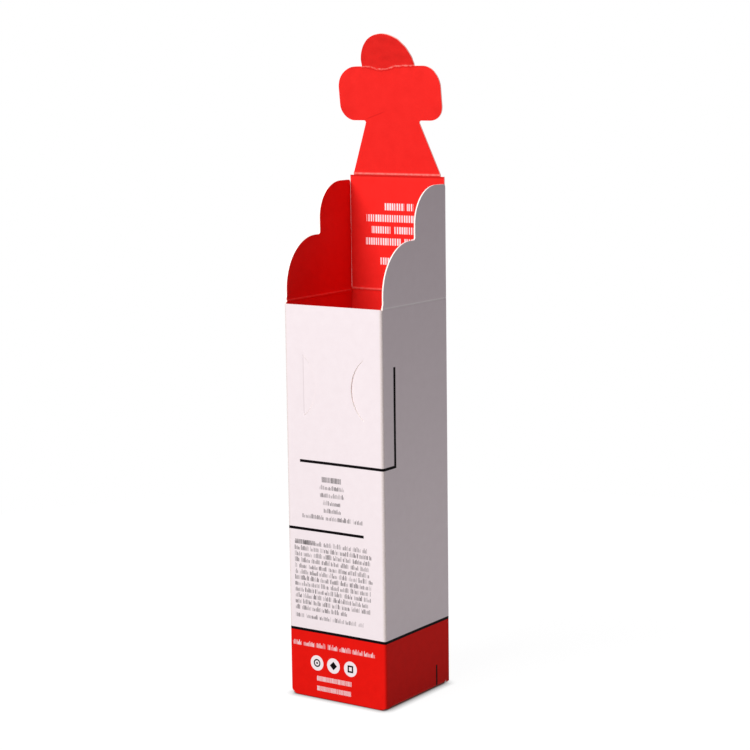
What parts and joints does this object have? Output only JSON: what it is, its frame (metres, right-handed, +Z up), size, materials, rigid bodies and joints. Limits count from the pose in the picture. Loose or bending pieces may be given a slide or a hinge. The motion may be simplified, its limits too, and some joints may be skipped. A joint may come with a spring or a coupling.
{
  "type": "tuck end box",
  "caption": "Tall square carton of folded board standing open, with dust flaps, a lid panel with a winged locking tongue, lock slits in the front and a tuck bottom.",
  "frame": {"origin": "middle of the base, on the surface the box stands on", "axes": "+Z up along the box, -Y out of the front panel with the lock slits, +X to the right seen from the front"},
  "size_m": [0.043, 0.041, 0.2324],
  "materials": {
    "printed_white_board": "satin",
    "red_inner_board": "matt",
    "red_base_board": "satin"
  },
  "bodies": {
    "carton": {"carton_body": "printed_white_board"},
    "right_dust_flap": {"right_dust_flap": "printed_white_board"},
    "left_dust_flap": {"left_dust_flap": "printed_white_board"},
    "lid": {"lid_panel": "red_inner_board"},
    "tongue": {"lid_tongue": "red_inner_board"},
    "bottom": {"bottom_flap": "red_base_board"}
  },
  "joints": [
    {"name": "right_flap_hinge", "type": "hinge", "parent": "carton", "child": "right_dust_flap", "pos_m": [0.02025, 0, 0.1402], "axis": [0, -1, 0], "range_deg": [-100, 90]},
    {"name": "left_flap_hinge", "type": "hinge", "parent": "carton", "child": "left_dust_flap", "pos_m": [-0.02025, 0, 0.1409], "axis": [0, 1, 0], "range_deg": [-100, 90]},
    {"name": "lid_hinge", "type": "hinge", "parent": "carton", "child": "lid", "pos_m": [0, 0.02025, 0.1416], "axis": [1, 0, 0], "range_deg": [-100, 90]},
    {"name": "tongue_hinge", "type": "hinge", "parent": "lid", "child": "tongue", "pos_m": [0, 0.02025, 0.183], "axis": [1, 0, 0], "range_deg": [-90, 79]},
    {"name": "bottom_hinge", "type": "hinge", "parent": "carton", "child": "bottom", "pos_m": [0, -0.02025, 0.00025], "axis": [-1, 0, 0], "range_deg": [0, 110]}
  ]
}
